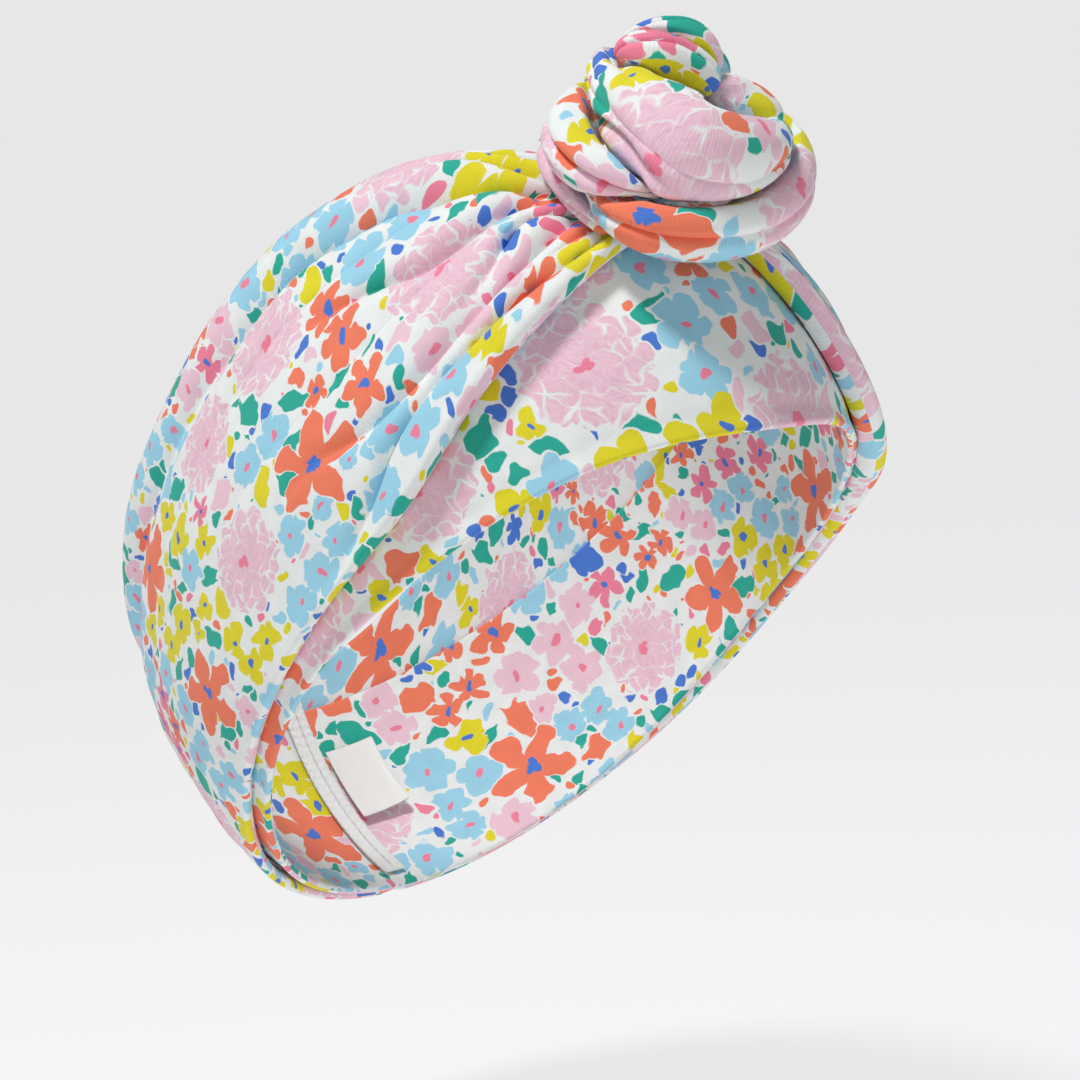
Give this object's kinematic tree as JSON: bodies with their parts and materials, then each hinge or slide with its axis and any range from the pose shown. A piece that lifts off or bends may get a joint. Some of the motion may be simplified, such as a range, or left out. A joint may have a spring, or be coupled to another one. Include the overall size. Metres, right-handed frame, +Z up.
{
  "type": "knotted headband",
  "caption": "Wide stretch-jersey headband whose two gathered wraps are tied in a round knot at the front top of the head, with an elasticated nape.",
  "frame": {"origin": "centre of the head that fills the band, which is the centre of the head opening", "axes": "+Z up, the wearer faces -Y, and the wearer's left is +X"},
  "size_m": [0.1582, 0.1974, 0.2037],
  "materials": {
    "band_jersey": "fine cotton-elastane jersey, off-white ground printed with painted flowers, matt",
    "wrap_jersey": "the same printed jersey, gathered in soft pleats, matt",
    "knot_jersey": "the same printed jersey, rolled and pulled tight, matt",
    "elastic": "woven ribbed elastic, white",
    "thread": "spun polyester thread, white, slight sheen",
    "label": "blank white satin ribbon"
  },
  "bodies": {
    "band_front": {"inner_band_front": "band_jersey", "right_wrap_front": "wrap_jersey", "left_wrap_front": "wrap_jersey", "right_wrap_neck": "wrap_jersey", "left_wrap_neck": "wrap_jersey", "right_tack_stitches": "thread", "left_tack_stitches": "thread"},
    "band_back": {"inner_band_back": "band_jersey", "right_wrap_back": "wrap_jersey", "left_wrap_back": "wrap_jersey", "nape_elastic": "elastic", "back_seam_allowance": "band_jersey", "back_seam_stitches": "thread"},
    "label": {"care_label": "label"},
    "knot": {"knot_core": "knot_jersey", "knot_outer_coil": "knot_jersey", "knot_tucked_end": "knot_jersey", "knot_middle_wrap": "knot_jersey", "knot_top_loop": "knot_jersey", "knot_top_roll": "knot_jersey", "knot_back_roll": "knot_jersey", "knot_side_fold": "knot_jersey", "knot_under_fold": "knot_jersey"}
  },
  "joints": [
    {"name": "band_stretch", "type": "slide", "parent": "band_front", "child": "band_back", "axis": [0, 0.7314, -0.682], "range_m": [0, 0.022], "stiffness_N_per_m": 150},
    {"name": "knot_rock", "type": "hinge", "parent": "band_front", "child": "knot", "pos_m": [0, -0.0674, 0.077], "axis": [1, 0, 0], "range_deg": [-4, 4], "stiffness_Nm_per_rad": 1.5},
    {"name": "label_flip", "type": "hinge", "parent": "band_back", "child": "label", "pos_m": [0.0035, 0.07266, -0.06206], "axis": [0, -0.6733, -0.7394], "range_deg": [0, 120]}
  ]
}
